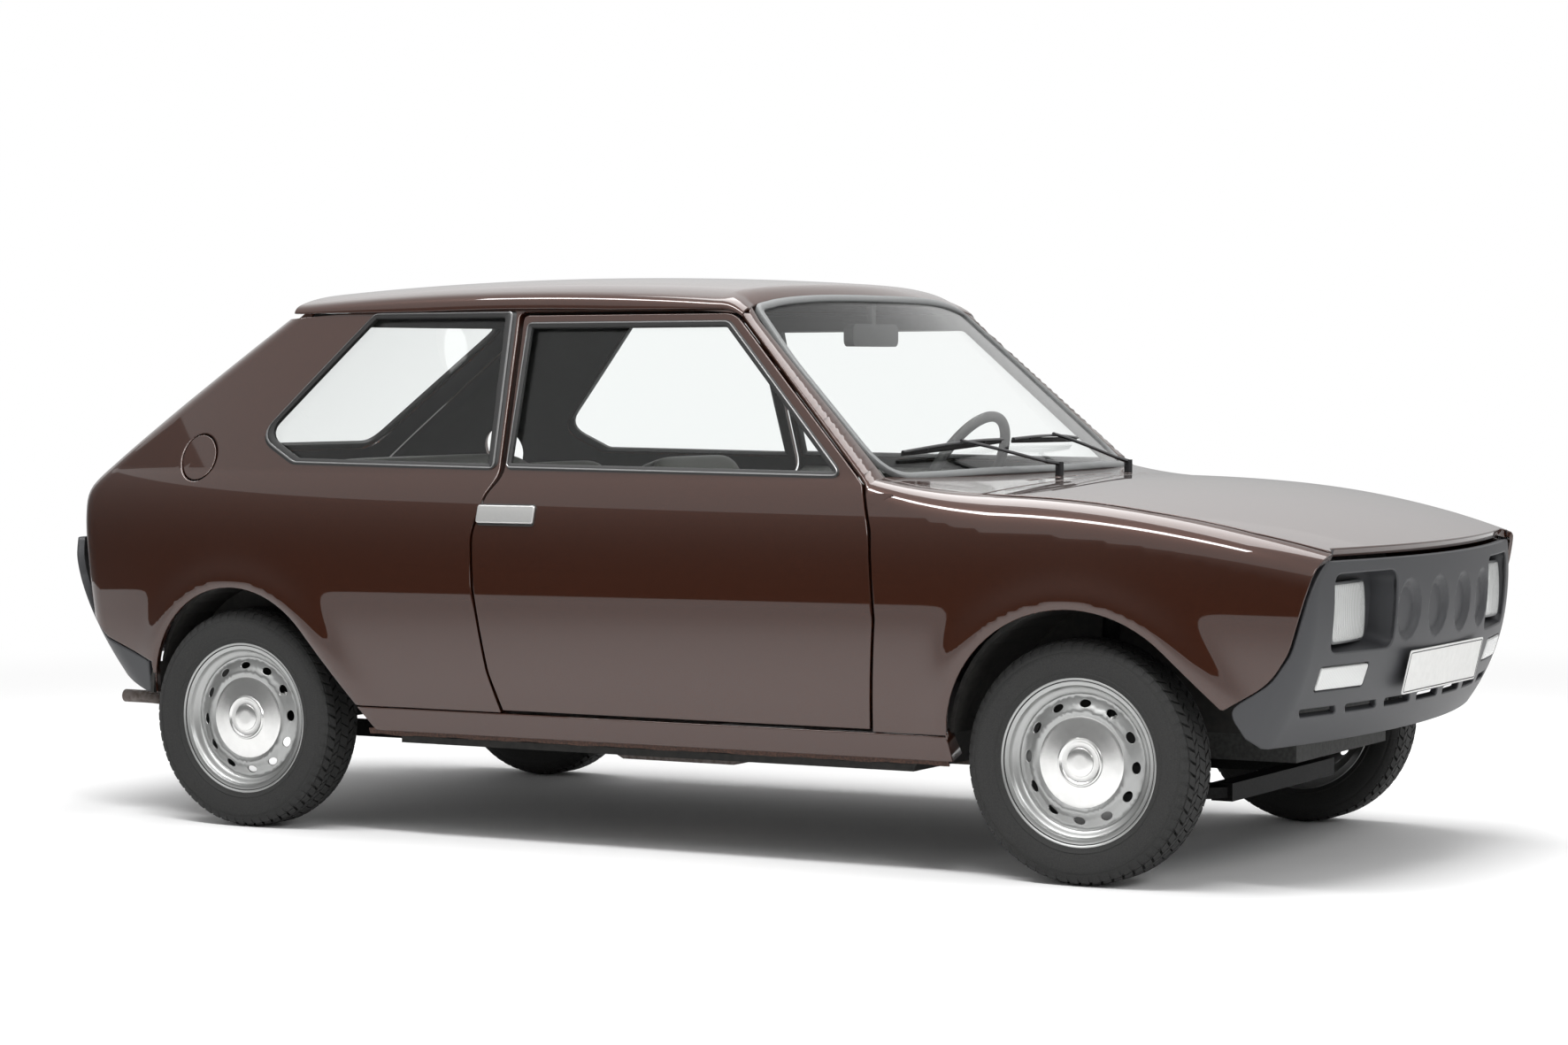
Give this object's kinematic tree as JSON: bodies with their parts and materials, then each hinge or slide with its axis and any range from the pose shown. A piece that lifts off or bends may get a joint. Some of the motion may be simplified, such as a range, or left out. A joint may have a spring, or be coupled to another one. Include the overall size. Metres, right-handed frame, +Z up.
{
  "type": "two door hatchback car",
  "caption": "Small hatchback with side doors, front hood, sloping tailgate, plastic nose and bumper, hollow cabin with seats and steel road wheels.",
  "frame": {"origin": "on the ground, on the centreline, half way between the foremost and rearmost point", "axes": "+X forward, +Y to the car's left, +Z up"},
  "size_m": [3.458, 1.53, 1.333],
  "materials": {
    "body_paint": "metallic chocolate brown with clear coat, glossy",
    "dark_plastic": "dark grey satin grained plastic",
    "clear_glass": "clear safety glass with a light grey tint",
    "lamp_glass": "clear fluted lamp glass over a bright reflector",
    "indicator_lens": "clear ribbed lens",
    "red_lens": "red ribbed lens",
    "plate_white": "blank white plate with a rim",
    "cabin_plastic": "dark grained cabin plastic",
    "seat_vinyl": "grey green vinyl with sewn ribs",
    "underbody": "black underbody coating",
    "engine_metal": "dull cast metal",
    "exhaust_steel": "aluminised steel, dulled",
    "chassis_steel": "bare and blackened steel with light rust",
    "tyre_rubber": "black tyre rubber with tread blocks",
    "wheel_silver": "silver painted pressed steel"
  },
  "bodies": {
    "body": {"floor_pan": "underbody", "sills": "body_paint", "body_side_right": "body_paint", "body_side_left": "body_paint", "front_fender_right": "body_paint", "front_fender_left": "body_paint", "roof": "body_paint", "cowl": "body_paint", "wheel_housings": "underbody", "front_fascia": "dark_plastic", "rear_bumper": "dark_plastic", "rear_panel": "body_paint", "windscreen": "clear_glass", "quarter_glass": "clear_glass", "headlights": "lamp_glass", "indicators": "indicator_lens", "tail_lights": "red_lens", "number_plates": "plate_white", "dashboard": "cabin_plastic", "steering_column": "cabin_plastic", "front_seats": "seat_vinyl", "seat_runners": "underbody", "rear_seat": "seat_vinyl", "rear_view_mirror": "cabin_plastic", "engine_block": "engine_metal", "fuel_tank": "underbody", "exhaust": "exhaust_steel", "front_suspension": "chassis_steel", "rear_axle": "chassis_steel"},
    "door_right": {"door_right": "body_paint", "door_glass_right": "clear_glass"},
    "door_left": {"door_left": "body_paint", "door_glass_left": "clear_glass"},
    "hood": {"hood": "body_paint"},
    "tailgate": {"tailgate": "body_paint", "tailgate_glass": "clear_glass"},
    "fuel_flap": {"fuel_flap": "body_paint"},
    "knuckle_right": {"knuckle_right": "chassis_steel"},
    "knuckle_left": {"knuckle_left": "chassis_steel"},
    "wheel_front_right": {"tyre_front_right": "tyre_rubber", "rim_front_right": "wheel_silver"},
    "wheel_front_left": {"tyre_front_left": "tyre_rubber", "rim_front_left": "wheel_silver"},
    "wheel_rear_right": {"tyre_rear_right": "tyre_rubber", "rim_rear_right": "wheel_silver"},
    "wheel_rear_left": {"tyre_rear_left": "tyre_rubber", "rim_rear_left": "wheel_silver"},
    "steering_wheel": {"steering_wheel": "cabin_plastic"}
  },
  "joints": [
    {"name": "door_right_hinge", "type": "hinge", "parent": "body", "child": "door_right", "pos_m": [0.608, -0.752, 0.56], "axis": [0, 0.0523, 0.9986], "range_deg": [0, 65]},
    {"name": "door_left_hinge", "type": "hinge", "parent": "body", "child": "door_left", "pos_m": [0.608, 0.752, 0.56], "axis": [0, -0.0523, 0.9986], "range_deg": [-65, 0]},
    {"name": "hood_hinge", "type": "hinge", "parent": "body", "child": "hood", "pos_m": [0.963, 0, 0.84357], "axis": [0, 1, 0], "range_deg": [-55, 0]},
    {"name": "tailgate_hinge", "type": "hinge", "parent": "body", "child": "tailgate", "pos_m": [-1.015, 0, 1.304], "axis": [0, 1, 0], "range_deg": [0, 75]},
    {"name": "fuel_flap_hinge", "type": "hinge", "parent": "body", "child": "fuel_flap", "pos_m": [-1.188, -0.68251, 0.896], "axis": [0, 0.3168, 0.9485], "range_deg": [0, 100]},
    {"name": "steer_right", "type": "hinge", "parent": "body", "child": "knuckle_right", "pos_m": [1.138, -0.585, 0.173], "axis": [0, 0.1668, 0.986], "range_deg": [-33, 33]},
    {"name": "steer_left", "type": "hinge", "parent": "body", "child": "knuckle_left", "pos_m": [1.138, 0.585, 0.173], "axis": [0, -0.1668, 0.986], "range_deg": [-33, 33]},
    {"name": "steering_wheel_spin", "type": "hinge", "parent": "body", "child": "steering_wheel", "pos_m": [0.348, 0.32, 0.83], "axis": [-0.8829, 0, 0.4695], "range_deg": [-594, 594]},
    {"name": "wheel_front_right_spin", "type": "hinge", "parent": "knuckle_right", "child": "wheel_front_right", "pos_m": [1.138, -0.64, 0.265], "axis": [0, 1, 0], "continuous": true},
    {"name": "wheel_front_left_spin", "type": "hinge", "parent": "knuckle_left", "child": "wheel_front_left", "pos_m": [1.138, 0.64, 0.265], "axis": [0, 1, 0], "continuous": true},
    {"name": "wheel_rear_right_spin", "type": "hinge", "parent": "body", "child": "wheel_rear_right", "pos_m": [-1.087, -0.6475, 0.265], "axis": [0, 1, 0], "continuous": true},
    {"name": "wheel_rear_left_spin", "type": "hinge", "parent": "body", "child": "wheel_rear_left", "pos_m": [-1.087, 0.6475, 0.265], "axis": [0, 1, 0], "continuous": true}
  ],
  "couplings": [
    {"joint": "steer_left", "follows": "steer_right", "ratio": 1},
    {"joint": "steering_wheel_spin", "follows": "steer_right", "ratio": 18}
  ]
}
